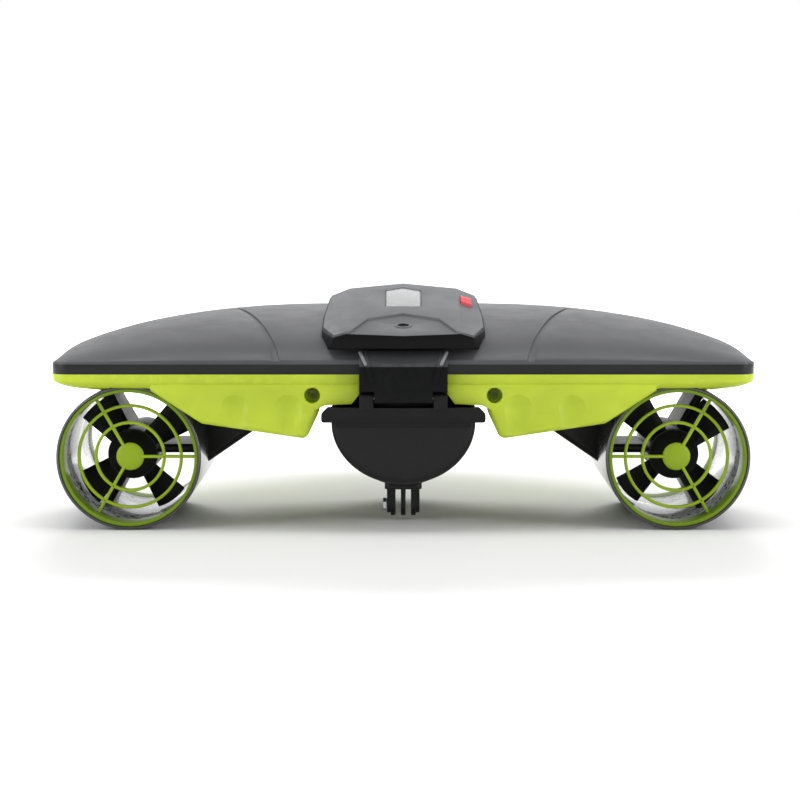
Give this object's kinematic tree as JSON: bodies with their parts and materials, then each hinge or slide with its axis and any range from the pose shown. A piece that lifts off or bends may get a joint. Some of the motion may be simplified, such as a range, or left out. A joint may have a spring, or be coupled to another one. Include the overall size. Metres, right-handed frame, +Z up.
{
  "type": "underwater scooter",
  "caption": "Wide-winged underwater scooter with guarded ducted propellers, side grips with triggers, a control pod and a removable battery.",
  "frame": {"origin": "bottom centre of the whole scooter, on the floor under the two ducts", "axes": "+X to the right hand of the rider, +Y towards the nose, +Z up"},
  "size_m": [0.46, 0.2604, 0.157],
  "materials": {
    "cover_black": "satin moulded",
    "shell_green": "satin moulded",
    "guard_green": "satin moulded",
    "hull_black": "fine matt texture",
    "duct_grey": "gloss with fine metallic speck",
    "pod_grey": "soft sheen",
    "window_light": "frosted gloss",
    "slider_red": "satin moulded",
    "drive_black": "satin moulded",
    "seal_rubber": "matt",
    "steel": "brushed",
    "motor_iron": "laminated and wound",
    "battery_case": "anodised",
    "board": "lacquered board",
    "plate": "moulded"
  },
  "bodies": {
    "frame": {"camera_foot": "hull_black", "camera_nut": "steel", "centre_hull": "hull_black", "chassis_plate": "plate", "cover_screws": "steel", "display_board": "board", "display_window": "window_light", "grip_screws": "steel", "left_arm": "hull_black", "left_bearings": "steel", "left_duct": "duct_grey", "left_inlet_ring": "guard_green", "left_lower_shell": "shell_green", "left_motor_pod": "drive_black", "left_motor_stator": "motor_iron", "left_outlet_guard": "guard_green", "left_trigger_pin": "steel", "main_board": "board", "pod_base": "hull_black", "pod_cover": "pod_grey", "pod_screws": "steel", "right_arm": "hull_black", "right_bearings": "steel", "right_duct": "duct_grey", "right_inlet_ring": "guard_green", "right_lower_shell": "shell_green", "right_motor_pod": "drive_black", "right_motor_stator": "motor_iron", "right_outlet_guard": "guard_green", "right_trigger_pin": "steel", "top_cover": "cover_black"},
    "battery": {"battery_cap": "hull_black", "cap_seal": "seal_rubber", "battery_can": "battery_case", "latch_pin": "steel"},
    "latch": {"battery_latch": "hull_black"},
    "slider": {"lock_slider": "slider_red"},
    "propeller_left": {"left_propeller": "drive_black", "left_spinner": "drive_black", "left_shaft": "steel", "left_motor_rotor": "motor_iron"},
    "trigger_left": {"left_trigger": "hull_black"},
    "propeller_right": {"right_propeller": "drive_black", "right_spinner": "drive_black", "right_shaft": "steel", "right_motor_rotor": "motor_iron"},
    "trigger_right": {"right_trigger": "hull_black"}
  },
  "joints": [
    {"name": "propeller_left_spin", "type": "hinge", "parent": "frame", "child": "propeller_left", "pos_m": [-0.1802, -0.0825, 0.0476], "axis": [0, 1, 0], "continuous": true},
    {"name": "propeller_right_spin", "type": "hinge", "parent": "frame", "child": "propeller_right", "pos_m": [0.1802, -0.0825, 0.0476], "axis": [0, 1, 0], "continuous": true},
    {"name": "trigger_left_pull", "type": "hinge", "parent": "frame", "child": "trigger_left", "pos_m": [-0.1, -0.095, 0.086], "axis": [-1, 0, 0], "range_deg": [0, 12], "stiffness_Nm_per_rad": 0.4, "springref_deg": -5.73},
    {"name": "trigger_right_pull", "type": "hinge", "parent": "frame", "child": "trigger_right", "pos_m": [0.1, -0.095, 0.086], "axis": [-1, 0, 0], "range_deg": [0, 12], "stiffness_Nm_per_rad": 0.4, "springref_deg": -5.73},
    {"name": "battery_slide", "type": "slide", "parent": "frame", "child": "battery", "axis": [0, -1, 0], "range_m": [0, 0.15]},
    {"name": "battery_latch_swing", "type": "hinge", "parent": "battery", "child": "latch", "pos_m": [0, -0.1245, 0.088], "axis": [1, 0, 0], "range_deg": [0, 75]},
    {"name": "lock_slide", "type": "slide", "parent": "frame", "child": "slider", "axis": [0, 0.9767, 0.2147], "range_m": [0, 0.006]}
  ]
}
